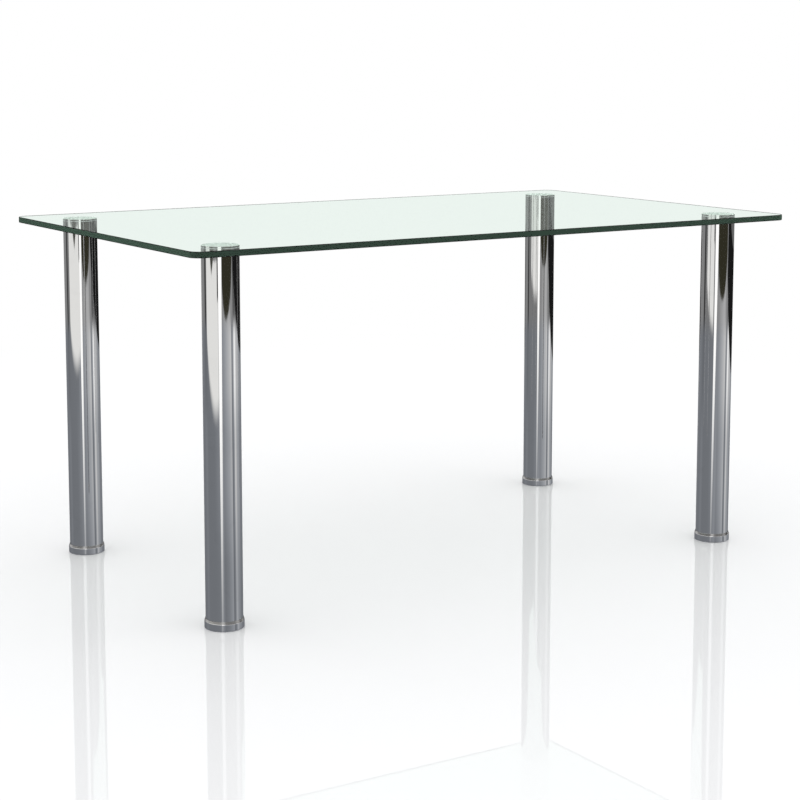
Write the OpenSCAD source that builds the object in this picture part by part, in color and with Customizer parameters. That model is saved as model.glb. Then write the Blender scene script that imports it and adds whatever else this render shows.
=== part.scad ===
// Dining table: one clear glass pane with rounded corners on four round chrome legs.
// Each leg hangs from a plate bonded under the glass and stands on a screw-adjusted foot.
// Millimetres. +Z is up, +X runs along the table, and -Y is its front. The origin lies on the
// floor under the middle of the glass, with the feet screwed right in.

/* [Glass] */
// Height of the glass's upper face above the floor
table_height = 765; // [720:1:800]
// Length of the glass
top_length = 1500; // [1200:10:2000]
// Width of the glass
top_width = 900; // [700:10:1100]
// Thickness of the glass
top_thick = 12.7; // [10:0.1:15]
// Radius of the glass's corners, seen from above
corner_radius = 25; // [10:1:60]
// Width of the ground arris along every edge of the glass
arris = 1; // [0.5:0.1:2]

/* [Legs] */
// Outside diameter of a leg tube
leg_dia = 75; // [70:1:90]
// Wall thickness of a leg tube
leg_wall = 1.5; // [1.2:0.1:2]
// Distance from the glass's short edge to a leg's axis
leg_inset_x = 110; // [80:1:300]
// Distance from the glass's long edge to a leg's axis
leg_inset_y = 108; // [80:1:200]

/* [Joint under the glass] */
// Thickness of the plate bonded to the glass
plate_thick = 4; // [3:0.5:6]
// Thickness of the cured adhesive between plate and glass
film_thick = 0.2; // [0.1:0.05:0.4]
// Diameter of the plate's threaded boss
boss_dia = 24; // [18:1:30]
// Height of the plate's threaded boss
boss_height = 12; // [10:1:16]
// Thickness of the plate welded inside the top of a tube
end_plate_thick = 5; // [4:0.5:8]
// Length of the stud that joins a leg to its bonded plate
stud_length = 20; // [18:1:22]

/* [Feet] */
// Outside diameter of a foot's chrome cup
cup_dia = 80; // [79:0.5:95]
// Height of the cup's upright band above the floor
cup_band_top = 14.5; // [12:0.5:16]
// Height of the cup's upper lip above the floor
cup_lip_top = 20; // [18:0.5:24]
// Diameter of the nylon glide under a foot
glide_dia = 70; // [60:1:70]
// Thickness of the nylon glide
glide_thick = 5; // [5:0.5:6]
// Height of the plug's body inside the tube
plug_height = 25; // [22:1:40]
// How many crush ribs the plug has
plug_ribs = 12; // [6:1:24]
// How many webs stiffen the plug's hub
plug_webs = 6; // [3:1:8]
// Length of the levelling screw's shank
screw_length = 36; // [34:1:50]

/* [Hidden] */
$fn = 96;

// Threads are drawn as plain cylinders at their major diameter.
thread_dia = 10;
nut_across_flats = 17;
nut_height = 8;
jam_nut_height = 5;
socket_across_flats = 5;
nut_bore_dia = thread_dia + 0.1; // running clearance on the levelling screw
small_chamfer = 0.3;
part_chamfer = 0.6;

// Leg axes, and the words that name them.
leg_x = top_length / 2 - leg_inset_x;
leg_y = top_width / 2 - leg_inset_y;
LEGS = [
    ["front_left", -leg_x, -leg_y],
    ["front_right", leg_x, -leg_y],
    ["back_left", -leg_x, leg_y],
    ["back_right", leg_x, leg_y],
];

// Heights from the glass down.
glass_bottom = table_height - top_thick;
plate_top = glass_bottom - film_thick;
tube_top = plate_top - plate_thick;
boss_bottom = tube_top - boss_height;
boss_end_gap = 1.5;
end_plate_top = boss_bottom - boss_end_gap;
weld_leg = 2;
stud_top = tube_top - 1;
stud_hole_top = stud_top + 0.5;

// Heights from the floor up.
cup_foot = 1;
running_gap = 0.1;
cup_floor_bottom = glide_thick + running_gap;
cup_floor_thick = 2.9;
cup_floor_top = cup_floor_bottom + cup_floor_thick;
cup_edge_round = 1;
cup_lip_wall = 0.5;
cup_gap = 0.3; // between the cup and the tube or glide inside it
plug_bottom = cup_floor_top + 0.3;
plug_flange = 2;
tube_bottom = plug_bottom + plug_flange;

// The glide and the screw head that keeps it on.
head_dia = 20;
head_height = 2.3;
glide_web = 2;
head_bottom = glide_thick - glide_web - running_gap - head_height;
glide_tread_groove = [16, 20]; // inner and outer radius of the groove in the glide's sole

// The plug inside the tube.
tube_bore = leg_dia - 2 * leg_wall;
rib_depth = 0.4;
rib_width = 2;
plug_wall = 2.5;
plug_floor = 3;
hub_dia = 27;
jam_pocket_dia = 21; // clears the turning corners of the jam nut
jam_pocket_top = plug_bottom + 6;
nut_pocket_top = jam_pocket_top + nut_height;
hub_roof = 5;
hub_top = nut_pocket_top + hub_roof;
web_thick = 2;
web_top = hub_top - 3;

PIECES = [
    "bond_film", "bonding_plate", "joining_stud", "end_plate", "leg_tube", "foot_plug",
    "plug_nut", "foot_cup", "levelling_screw", "jam_nut", "foot_glide",
];

// ---- Shared shapes ----

// A solid turned about Z from an outline of [radius, height] points.
module turned(outline) {
    rotate_extrude() polygon(outline);
}

// A disc or ring between two heights, with both outer edges chamfered.
module turned_ring(inner, outer, bottom, top, chamfer) {
    turned([
        [inner, bottom], [outer - chamfer, bottom], [outer, bottom + chamfer],
        [outer, top - chamfer], [outer - chamfer, top], [inner, top],
    ]);
}

// A hexagonal prism given by its width across flats.
module hexagon(across_flats, bottom, top) {
    translate([0, 0, bottom])
        cylinder(r = across_flats / 2 / cos(30), h = top - bottom, $fn = 6);
}

// A hexagonal nut with its corners turned down on both faces.
module nut(height, bore_dia) {
    corner = nut_across_flats / 2 / cos(30);
    face = nut_across_flats / 2 - 0.3;
    drop = (corner - face) * tan(30);
    difference() {
        intersection() {
            hexagon(nut_across_flats, 0, height);
            turned([
                [0, 0], [face, 0], [corner, drop],
                [corner, height - drop], [face, height], [0, height],
            ]);
        }
        translate([0, 0, -1]) cylinder(d = bore_dia, h = height + 2);
    }
}

// ---- The glass ----

// The pane's cross-section for one half-width, with the arris ground on all four edges.
function pane_section(half) = [
    [-half + arris, glass_bottom], [half - arris, glass_bottom],
    [half, glass_bottom + arris], [half, table_height - arris],
    [half - arris, table_height], [-half + arris, table_height],
    [-half, table_height - arris], [-half, glass_bottom + arris],
];

module glass_top() {
    color([0.80, 0.91, 0.86, 0.45]) union() {
        rotate([90, 0, 90])
            linear_extrude(height = top_length - 2 * corner_radius, center = true)
                polygon(pane_section(top_width / 2));
        rotate([90, 0, 0])
            linear_extrude(height = top_width - 2 * corner_radius, center = true)
                polygon(pane_section(top_length / 2));
        for (x = [-1, 1], y = [-1, 1])
            translate([
                x * (top_length / 2 - corner_radius), y * (top_width / 2 - corner_radius), 0,
            ])
                turned_corner();
    }
}

module turned_corner() {
    turned([
        [0, glass_bottom], [corner_radius - arris, glass_bottom],
        [corner_radius, glass_bottom + arris], [corner_radius, table_height - arris],
        [corner_radius - arris, table_height], [0, table_height],
    ]);
}

// ---- The joint between the glass and a leg ----

module bond_film() {
    color([0.90, 0.95, 0.93, 0.5])
        translate([0, 0, plate_top]) cylinder(d = leg_dia - 1, h = film_thick);
}

module bonding_plate() {
    edge = leg_dia / 2;
    hole = thread_dia / 2;
    boss = boss_dia / 2;
    color([0.82, 0.83, 0.84]) turned([
        [0, plate_top], [edge - small_chamfer, plate_top],
        [edge, plate_top - small_chamfer], [edge, tube_top + small_chamfer],
        [edge - small_chamfer, tube_top], [boss, tube_top],
        [boss, boss_bottom + part_chamfer], [boss - part_chamfer, boss_bottom],
        [hole + part_chamfer, boss_bottom], [hole, boss_bottom + part_chamfer],
        [hole, stud_hole_top], [0, stud_hole_top],
    ]);
}

module joining_stud() {
    bottom = stud_top - stud_length;
    color([0.62, 0.63, 0.60]) difference() {
        translate([0, 0, bottom])
            turned([
                [0, 0], [thread_dia / 2 - part_chamfer, 0], [thread_dia / 2, part_chamfer],
                [thread_dia / 2, stud_length - part_chamfer],
                [thread_dia / 2 - part_chamfer, stud_length], [0, stud_length],
            ]);
        hexagon(socket_across_flats, bottom - 1, bottom + 5);
    }
}

// A disc with a fillet of weld under it, where it meets the tube's bore.
module end_plate() {
    edge = tube_bore / 2;
    bottom = end_plate_top - end_plate_thick;
    color([0.45, 0.45, 0.46]) turned([
        [thread_dia / 2, bottom], [edge - weld_leg, bottom], [edge, bottom - weld_leg],
        [edge, end_plate_top], [thread_dia / 2, end_plate_top],
    ]);
}

// ---- The leg ----

module leg_tube() {
    outer = leg_dia / 2;
    inner = tube_bore / 2;
    color([0.86, 0.87, 0.88]) turned([
        [inner, tube_bottom], [outer - small_chamfer, tube_bottom],
        [outer, tube_bottom + small_chamfer], [outer, tube_top - small_chamfer],
        [outer - small_chamfer, tube_top], [inner, tube_top],
    ]);
}

module foot_plug() {
    wall = tube_bore / 2 - rib_depth;
    top = tube_bottom + plug_height;
    color([0.09, 0.09, 0.10]) difference() {
        union() {
            turned_ring(0, leg_dia / 2 - 0.2, plug_bottom, tube_bottom, small_chamfer);
            turned([
                [0, tube_bottom], [wall, tube_bottom], [wall, top - 1], [wall - 1, top],
                [wall - plug_wall, top], [wall - plug_wall, tube_bottom + plug_floor],
                [0, tube_bottom + plug_floor],
            ]);
            cylinder_between(hub_dia / 2, tube_bottom, hub_top);
            for (i = [0 : plug_webs - 1])
                rotate(i * 360 / plug_webs) plug_web(wall - plug_wall / 2);
            for (i = [0 : plug_ribs - 1])
                rotate((i + 0.5) * 360 / plug_ribs) crush_rib(top - 2);
        }
        cylinder_between(jam_pocket_dia / 2, plug_bottom - 1, jam_pocket_top);
        hexagon(nut_across_flats, plug_bottom - 1, nut_pocket_top);
        cylinder_between(thread_dia / 2 + 0.4, plug_bottom - 1, hub_top + 1);
    }
}

module cylinder_between(radius, bottom, top) {
    translate([0, 0, bottom]) cylinder(r = radius, h = top - bottom);
}

// One upright web from inside the hub to inside the plug's wall.
module plug_web(reach) {
    start = hub_dia / 2 - 1;
    translate([start, -web_thick / 2, tube_bottom + 1])
        cube([reach - start, web_thick, web_top - tube_bottom - 1]);
}

// One rib that bites the tube's bore, trimmed to the bore's own curve.
module crush_rib(top) {
    start = tube_bore / 2 - rib_depth - 1;
    intersection() {
        translate([start, -rib_width / 2, tube_bottom + 1])
            cube([rib_depth + 2, rib_width, top - tube_bottom - 1]);
        cylinder_between(tube_bore / 2, tube_bottom, top);
    }
}

module plug_nut() {
    color([0.62, 0.63, 0.60])
        translate([0, 0, jam_pocket_top]) nut(nut_height, nut_bore_dia);
}

// ---- The levelling foot ----

// The cup wraps the end of the tube. Its upright band turns in over a small round edge to a
// sloping shoulder.
module foot_cup() {
    outer = cup_dia / 2;
    bore = leg_dia / 2 + cup_gap;
    recess = glide_dia / 2 + cup_gap;
    lip = bore + cup_lip_wall;
    slope = atan2(outer - lip, cup_lip_top - cup_band_top);
    round_steps = 5;
    color([0.80, 0.81, 0.82]) turned(concat(
        [
            [thread_dia / 2, cup_floor_bottom], [recess, cup_floor_bottom],
            [recess, cup_foot], [outer - small_chamfer, cup_foot],
            [outer, cup_foot + small_chamfer],
        ],
        [
            for (i = [0 : round_steps])
                let (turn = slope * i / round_steps)
                [
                    outer - cup_edge_round * (1 - cos(turn)),
                    cup_band_top - cup_edge_round * (sin(slope) - sin(turn)),
                ]
        ],
        [
            [lip, cup_lip_top], [bore, cup_lip_top], [bore, cup_floor_top],
            [thread_dia / 2, cup_floor_top],
        ]
    ));
}

// A flat-headed screw, head down, with its shank rising through the cup into the plug.
module levelling_screw() {
    shank = thread_dia / 2;
    head_top = head_bottom + head_height;
    tip = head_top + screw_length;
    color([0.62, 0.63, 0.60]) difference() {
        turned([
            [0, head_bottom], [head_dia / 2 - part_chamfer, head_bottom],
            [head_dia / 2, head_bottom + part_chamfer], [head_dia / 2, head_top],
            [shank, head_top], [shank, tip - 1], [shank - 1, tip], [0, tip],
        ]);
        hexagon(socket_across_flats, head_bottom - 1, head_bottom + 1.8);
    }
}

module jam_nut() {
    color([0.62, 0.63, 0.60])
        translate([0, 0, cup_floor_top]) nut(jam_nut_height, thread_dia);
}

// The glide stays still on the floor while the cup and screw turn on it.
module foot_glide() {
    edge = glide_dia / 2;
    pocket = head_dia / 2 + 0.5;
    pocket_roof = glide_thick - glide_web;
    color([0.12, 0.12, 0.13]) turned([
        [pocket, 0], [glide_tread_groove[0], 0], [glide_tread_groove[0], 1],
        [glide_tread_groove[1], 1], [glide_tread_groove[1], 0],
        [edge - 1.5, 0], [edge, 1.5], [edge, glide_thick - small_chamfer],
        [edge - small_chamfer, glide_thick], [thread_dia / 2 + 0.3, glide_thick],
        [thread_dia / 2 + 0.3, pocket_roof], [pocket, pocket_roof],
    ]);
}

// ---- The assembly ----

glass_top();
for (leg = LEGS) translate([leg[1], leg[2], 0]) {
    bond_film();
    bonding_plate();
    joining_stud();
    end_plate();
    leg_tube();
    foot_plug();
    plug_nut();
    foot_cup();
    levelling_screw();
    jam_nut();
    foot_glide();
}
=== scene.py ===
import math

import bpy
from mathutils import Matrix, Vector


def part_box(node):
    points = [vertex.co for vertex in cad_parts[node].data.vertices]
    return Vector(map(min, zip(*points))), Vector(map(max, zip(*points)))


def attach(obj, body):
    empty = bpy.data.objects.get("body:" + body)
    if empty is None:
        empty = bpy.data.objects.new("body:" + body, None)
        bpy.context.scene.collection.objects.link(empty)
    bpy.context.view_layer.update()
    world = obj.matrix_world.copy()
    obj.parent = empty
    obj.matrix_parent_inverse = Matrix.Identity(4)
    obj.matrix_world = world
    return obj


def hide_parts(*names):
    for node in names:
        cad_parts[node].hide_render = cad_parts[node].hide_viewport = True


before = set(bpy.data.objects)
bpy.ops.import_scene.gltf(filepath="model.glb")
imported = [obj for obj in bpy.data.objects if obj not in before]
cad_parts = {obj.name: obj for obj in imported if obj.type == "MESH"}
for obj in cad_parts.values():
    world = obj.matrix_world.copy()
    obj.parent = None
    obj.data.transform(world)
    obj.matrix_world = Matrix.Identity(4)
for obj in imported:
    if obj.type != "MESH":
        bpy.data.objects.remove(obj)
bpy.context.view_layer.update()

mm = 0.001
legNames = sorted(n[len("leg_tube_"):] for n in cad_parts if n.startswith("leg_tube_"))


# ways to build node trees, for shaders and for geometry

def place(tree, kind, feeds=None, **settings):
    # one node with its settings, each input fed by a value or by another socket
    made = tree.nodes.new(kind)
    for name, value in settings.items():
        setattr(made, name, value)
    for key, value in (feeds or {}).items():
        if isinstance(value, bpy.types.NodeSocket):
            tree.links.new(value, made.inputs[key])
        else:
            made.inputs[key].default_value = value
    return made


def calc(tree, operation, first, second=0.0, clamp=False):
    return place(tree, "ShaderNodeMath", {0: first, 1: second},
                 operation=operation, use_clamp=clamp).outputs[0]


def times(tree, first, *more):
    for factor in more:
        first = calc(tree, "MULTIPLY", first, factor)
    return first


def weighted(tree, base, *parts):
    # a base value plus each mask times its weight
    for value, weight in parts:
        base = calc(tree, "ADD", base, times(tree, value, weight))
    return base


def vector(tree, x=0.0, y=0.0, z=0.0):
    return place(tree, "ShaderNodeCombineXYZ", {"X": x, "Y": y, "Z": z}).outputs[0]


def mixed(tree, part, first, second):
    return place(tree, "ShaderNodeMix", {0: part, 6: first, 7: second}, data_type="RGBA").outputs[2]


def stepped(tree, value, low, high):
    # 0 at low, 1 at high, and a soft step between
    return place(tree, "ShaderNodeMapRange", {"Value": value, "From Min": low, "From Max": high},
                 interpolation_type="SMOOTHSTEP").outputs[0]


def noise(tree, where, scale, **more):
    return place(tree, "ShaderNodeTexNoise",
                 {"Vector": where, "Scale": scale, **more}).outputs["Fac"]


def mask(tree, name):
    # one of the piece's own attributes
    return place(tree, "ShaderNodeAttribute", attribute_name=name).outputs["Fac"]


def grey(shade):
    return (shade, shade, shade, 1)


def ramp(tree, factor, stops):
    # stops are (place from 0 to 1, shade of grey)
    made = place(tree, "ShaderNodeValToRGB", {"Fac": factor})
    points = made.color_ramp.elements
    while len(points) < len(stops):
        points.new(1.0)
    for point, (at, shade) in zip(points, stops):
        point.position = at
        point.color = grey(shade)
    return made.outputs["Color"]


def newGroup(kind, name, inputs, outputs):
    # inputs and outputs are {name: socket kind}
    tree = bpy.data.node_groups.new(name, kind)
    for side, sockets in (("OUTPUT", outputs), ("INPUT", inputs)):
        for label, what in sockets.items():
            tree.interface.new_socket(label, in_out=side, socket_type="NodeSocket" + what)
    return tree, place(tree, "NodeGroupInput").outputs


def newPaint(name):
    # a material of the studio's own, with an empty tree
    paint = bpy.data.materials.new(name)
    paint.use_nodes = True
    paint.node_tree.nodes.clear()
    return paint, paint.node_tree


def newPiece(name, mesh):
    piece = bpy.data.objects.new(name, mesh)
    bpy.context.scene.collection.objects.link(piece)
    return piece


# camera, light and floor

cameraView = {
    "place": (-2.3395, -3.6619, 1.1483),
    "turn": 32.5,      # degrees from +Y towards +X
    "tilt": 7.18,      # degrees below the horizon
    "lens": 86.52,     # mm
    "shiftX": -0.0008, "shiftY": -0.141,  # keep the legs upright with the table in the middle
    "farthest": 100,   # metres
}


def makeCamera():
    camera = bpy.data.objects.new("camera", bpy.data.cameras.new("camera"))
    camera.data.lens = cameraView["lens"]
    camera.data.shift_x = cameraView["shiftX"]
    camera.data.shift_y = cameraView["shiftY"]
    camera.data.clip_end = cameraView["farthest"]
    camera.location = cameraView["place"]
    camera.rotation_euler = (
        math.radians(90 - cameraView["tilt"]), 0, math.radians(-cameraView["turn"])
    )
    bpy.context.scene.collection.objects.link(camera)
    bpy.context.scene.camera = camera
    print("camera placed")


# The studio as polished metal sees it. Each list goes round the table in degrees from +X, with a
# brightness: three rings of floor, what stands over its far edge, and what is overhead. A pair of
# numbers is where one of them turns into the next, in degrees above the horizon.
studio = {
    "farFloor": [
        (0, 0.50), (10, 0.33), (40, 0.20), (100, 0.22), (112, 0.22), (134, 0.17), (150, 0.20),
        (215, 0.21), (221, 0.28), (248, 0.30), (262, 0.38), (288, 0.56), (302, 0.68), (306, 0.40),
        (309, 0.12), (313, 0.38), (319, 0.40), (323, 1.10), (333, 0.95), (338, 0.58), (360, 0.50),
    ],
    "middleFloor": [
        (0, 0.36), (10, 0.24), (112, 0.20), (134, 0.24), (150, 0.20), (195, 0.205), (217, 0.25),
        (243, 0.32), (252, 0.27), (274, 0.36), (288, 0.42), (302, 0.52), (306, 0.30), (309, 0.12),
        (313, 0.27), (320, 0.30), (325, 0.72), (334, 0.60), (340, 0.42), (360, 0.36),
    ],
    "nearFloor": [
        (0, 0.27), (10, 0.21), (112, 0.19), (134, 0.23), (150, 0.20), (195, 0.20), (217, 0.21),
        (240, 0.28), (252, 0.20), (274, 0.24), (288, 0.29), (302, 0.35), (307, 0.24), (309, 0.12),
        (313, 0.22), (320, 0.25), (326, 0.46), (334, 0.40), (345, 0.31), (360, 0.27),
    ],
    "rings": [(-16.0, -12.4), (-11.8, -9.6)],
    "overFloor": [
        (0, 0.16), (40, 0.14), (62, 0.26), (128, 0.26), (133, 0.03), (140, 0.03), (146, 0.22),
        (215, 0.22), (221, 0.28), (248, 0.30), (262, 0.38), (288, 0.50), (300, 0.40), (303, 0.26),
        (314, 0.32), (318, 0.10), (360, 0.16),
    ],
    "overFloorEdge": (-8.6, -7.9),
    "skyline": (-4.5, -2.5),   # a bright line along the horizon, which rounded edges pick up
    "skylineShade": 0.85,
    "above": [
        (0, 0.27), (62, 0.27), (130, 0.22), (219, 0.21), (226, 0.90), (238, 0.90), (246, 0.26),
        (300, 0.32), (309, 0.22), (320, 0.70), (338, 0.60), (345, 0.28), (360, 0.27),
    ],
    "aboveFrom": (4.0, 9.0),
    "floorTint": (0.945, 1.0, 1.09, 1),
    "tinted": (0.7, 0.2),             # the brightness at which the tint begins, and where it is full
    "edgeSheen": (0.72, 1.20, 0.90),  # what the clear edge of the pane mirrors below the horizon
    "sheenEdge": (-1.5, 1.5),
    "ambient": 1.25,                  # the light that falls on everything that isn't polished
    "underGlass": 1.7,                # the same where it goes in and out through the pane
}


def makeStudioLight():
    world = bpy.data.worlds.new("studio")
    bpy.context.scene.world = world
    world.use_nodes = True
    world.cycles.sampling_method = "NONE"
    tree = world.node_tree
    tree.nodes.clear()
    way = place(tree, "ShaderNodeSeparateXYZ",
                {0: place(tree, "ShaderNodeTexCoord").outputs["Generated"]}).outputs
    turn = calc(tree, "DIVIDE", calc(tree, "ARCTAN2", way["Y"], way["X"]), 2 * math.pi)
    turn = calc(tree, "FRACT", turn)
    rise = calc(tree, "DEGREES", calc(tree, "ARCSINE", way["Z"]))

    def goingRound(name):
        return ramp(tree, turn, [(at / 360, shade) for at, shade in studio[name]])

    ray = place(tree, "ShaderNodeLightPath").outputs
    white = (1, 1, 1, 1)
    (low, lowTo), (high, highTo) = studio["rings"]
    seen = mixed(tree, stepped(tree, rise, low, lowTo),
                 goingRound("nearFloor"), goingRound("middleFloor"))
    seen = mixed(tree, stepped(tree, rise, high, highTo), seen, goingRound("farFloor"))
    tinted = place(tree, "ShaderNodeMix", {0: 1.0, 6: seen, 7: studio["floorTint"]},
                   data_type="RGBA", blend_type="MULTIPLY").outputs[2]
    seen = mixed(tree, stepped(tree, seen, *studio["tinted"]), seen, tinted)
    seen = mixed(tree, stepped(tree, rise, *studio["overFloorEdge"]), seen,
                 goingRound("overFloor"))
    seen = mixed(tree, stepped(tree, rise, *studio["skyline"]), seen, grey(studio["skylineShade"]))
    seen = mixed(tree, stepped(tree, rise, *studio["aboveFrom"]), seen, goingRound("above"))
    # the clear pane and the floor are perfect mirrors, and mirror a plain white sky
    byMirror = mixed(tree, stepped(tree, rise, *studio["sheenEdge"]), (*studio["edgeSheen"], 1),
                     white)
    seen = mixed(tree, ray["Is Singular Ray"], seen, byMirror)
    reflected = calc(tree, "SUBTRACT", ray["Is Glossy Ray"], ray["Is Transmission Ray"], clamp=True)
    plain = white
    for name, depth, passed in (("ambient", "Diffuse Depth", 0), ("underGlass", "Transmission Depth", 3)):
        deeper = calc(tree, "GREATER_THAN", ray[depth], passed + 0.5)
        plain = mixed(tree, deeper, plain, grey(studio[name]))
    light = place(tree, "ShaderNodeBackground", {"Color": mixed(tree, reflected, plain, seen)})
    place(tree, "ShaderNodeOutputWorld", {"Surface": light.outputs[0]})
    print("studio light made")


# Screens that stand round the table, on lines of points in metres. Only polished metal sees them.
# "foot" and "height" are the heights of a screen's edges, "fade" is how far up from its foot it
# comes in, "sides" how much of its ends is soft, "curl" how far the foot rises towards the ends,
# and "bow" how late it does so.
screens = {
    "lamp": {
        "line": [(-3.18, -3.07), (-3.06, -3.43), (-2.95, -3.80)], "foot": -1.5,
        "top": [(-3.22, -3.00), (-2.80, -4.20), (-2.38, -5.40)], "height": 0.7,
        "fade": 1.3, "sides": 0.12, "shade": (1.28, 1.27, 1.25),
    },
    "palePanel": {
        "line": [(-3.75, 1.6), (-3.3, 0.6), (-2.95, -0.3), (-2.5, -1.2), (-2.1, -1.95)],
        "height": 0.51, "fade": 0.10, "sides": 0.10, "shade": (0.90, 0.895, 0.87),
    },
    "darkPennant": {
        "line": [(-2.96, -0.02), (-2.70, -0.58), (-2.44, -1.15)], "foot": 0.455,
        "height": 0.58, "fade": 0.02, "sides": 0.02, "curl": 0.08, "bow": 1.0,
        "shade": (0.06, 0.06, 0.05),
    },
    "darkStay": {
        "line": [(-2.20, -1.65), (-2.13, -1.78), (-2.06, -1.92)], "foot": 0.38,
        "height": 0.58, "fade": 0.02, "sides": 0.3, "shade": (0.05, 0.05, 0.05),
    },
    "darkFlag": {
        "line": [(-2.3, -4.66), (0.62, -4.66), (3.55, -4.66)], "height": 0.40,
        "fade": 0.015, "sides": 0.02, "curl": 0.13, "bow": 4.0, "shade": (0.034, 0.032, 0.020),
    },
    "blackDrape": {
        "line": [(3.9, -4.4), (3.7, -2.7), (3.3, -0.9), (2.7, 0.6), (2.1, 1.7), (0.8, 3.0)],
        "height": 0.45, "fade": 0.03, "sides": 0.01, "shade": (0.011, 0.011, 0.011),
    },
}


def makeScreens():
    for name, screen in screens.items():
        paint, tree = newPaint(name)
        spot = place(tree, "ShaderNodeTexCoord").outputs["Object"]
        up = place(tree, "ShaderNodeSeparateXYZ", {0: spot}).outputs["Z"]
        across = mask(tree, "across")
        off = calc(tree, "ABSOLUTE", across)
        curl = times(tree, calc(tree, "POWER", off, screen.get("bow", 1.0)),
                     screen.get("curl", 0.0))
        foot = screen.get("foot", 0.0)
        shown = stepped(tree, calc(tree, "SUBTRACT", up, curl), foot, foot + screen["fade"])
        end = calc(tree, "SUBTRACT", 1.0, off)
        shown = times(tree, shown, stepped(tree, end, 0.0, screen["sides"]))
        ray = place(tree, "ShaderNodeLightPath").outputs
        metalSees = calc(tree, "SUBTRACT", 1.0, ray["Is Singular Ray"])
        clear = place(tree, "ShaderNodeBsdfTransparent")
        glow = place(tree, "ShaderNodeEmission", {"Color": (*screen["shade"], 1)})
        both = place(tree, "ShaderNodeMixShader", {
            0: times(tree, shown, metalSees), 1: clear.outputs[0], 2: glow.outputs[0],
        })
        place(tree, "ShaderNodeOutputMaterial", {"Surface": both.outputs[0]})
        line = screen["line"]
        top = screen.get("top", line)
        count = len(line)
        points = [(x, y, foot) for x, y in line] + [(x, y, screen["height"]) for x, y in top]
        faces = [(n, n + 1, count + n + 1, count + n) for n in range(count - 1)]
        mesh = bpy.data.meshes.new(name)
        mesh.from_pydata(points, [], faces)
        places = [2 * n / (count - 1) - 1 for n in range(count)] * 2
        mesh.attributes.new("across", "FLOAT", "POINT").data.foreach_set("value", places)
        mesh.materials.append(paint)
        stand = newPiece(name, mesh)
        for kind in ("camera", "diffuse", "transmission", "volume_scatter", "shadow"):
            setattr(stand, "visible_" + kind, False)
    print("screens set up")


floorLook = {
    "reach": 14.0,     # metres from the middle
    "depth": 0.03,
    "colour": (0.838, 0.842, 0.852),
    "fade": (1.5, 3.2),  # metres from the middle, where the floor turns into the backdrop
}


def makeFloor():
    # Four slabs meet under the table, and each follows the foot that stands on it, so a foot that
    # is screwed out still meets its floor.
    paint, tree = newPaint("paleFloor")
    spot = place(tree, "ShaderNodeVectorMath",
                 {0: place(tree, "ShaderNodeTexCoord").outputs["Object"]}, operation="LENGTH")
    fade = stepped(tree, spot.outputs["Value"], *floorLook["fade"])
    gloss = place(tree, "ShaderNodeBsdfPrincipled", {
        "Base Color": (*floorLook["colour"], 1), "Roughness": 0.0,
    })
    backdrop = place(tree, "ShaderNodeEmission", {"Color": (1, 1, 1, 1)})
    both = place(tree, "ShaderNodeMixShader", {0: fade, 1: gloss.outputs[0], 2: backdrop.outputs[0]})
    place(tree, "ShaderNodeOutputMaterial", {"Surface": both.outputs[0]})
    for leg in legNames:
        low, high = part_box("foot_glide_" + leg)
        ends = [math.copysign(floorLook["reach"], (low + high)[n]) for n in (0, 1)]
        left, right = sorted((0, ends[0]))
        front, back = sorted((0, ends[1]))
        corners = [(left, front), (right, front), (right, back), (left, back)]
        top = [(x, y, low.z) for x, y in corners]
        under = [(x, y, low.z - floorLook["depth"]) for x, y in corners]
        faces = [(0, 1, 2, 3), (7, 6, 5, 4)]
        faces += [(n, n + 4, (n + 1) % 4 + 4, (n + 1) % 4) for n in range(4)]
        mesh = bpy.data.meshes.new("floor_" + leg)
        mesh.from_pydata(top + under, [], faces)
        mesh.materials.append(paint)
        slab = newPiece("floor_" + leg, mesh)
        slab.visible_glossy = False  # polished metal mirrors the studio's own floor instead
        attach(slab, "glide_" + leg)
    print("floor laid")


# effects that several finishes share, and the level of noise at which each mark begins and is full

marksFrom = {"smudge": (0.48, 0.72), "smudgedPatch": (0.45, 0.62), "scratch": (0.60, 0.70),
             "rub": (0.36, 0.66)}
patchiness = {"smudges": 0.22, "grain": 0.06}  # the scale of the broad noise to that of the fine one


def smudgeGroup():
    tree, given = newGroup("ShaderNodeTree", "handlingSmudges",
                           {"Vector": "Vector", "Size": "Float", "Amount": "Float"},
                           {"Mask": "Float"})
    small = noise(tree, given["Vector"], calc(tree, "DIVIDE", 1.0, given["Size"]),
                  Detail=4.0, Distortion=0.8)
    wide = noise(tree, given["Vector"], calc(tree, "DIVIDE", patchiness["smudges"], given["Size"]),
                 Detail=2.0)
    marked = times(tree, stepped(tree, small, *marksFrom["smudge"]),
                   stepped(tree, wide, *marksFrom["smudgedPatch"]), given["Amount"])
    place(tree, "NodeGroupOutput", {"Mask": marked})
    return tree


def scratchGroup():
    # long thin marks that run the way Stretch leaves them long
    tree, given = newGroup("ShaderNodeTree", "fineScratches",
                           {"Vector": "Vector", "Stretch": "Vector", "Amount": "Float"},
                           {"Mask": "Float"})
    pulled = place(tree, "ShaderNodeVectorMath", {0: given["Vector"], 1: given["Stretch"]},
                   operation="MULTIPLY")
    lines = noise(tree, pulled.outputs[0], 1.0, Detail=2.0, Roughness=0.6)
    marked = stepped(tree, lines, *marksFrom["scratch"])
    place(tree, "NodeGroupOutput", {"Mask": times(tree, marked, given["Amount"])})
    return tree


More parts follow.
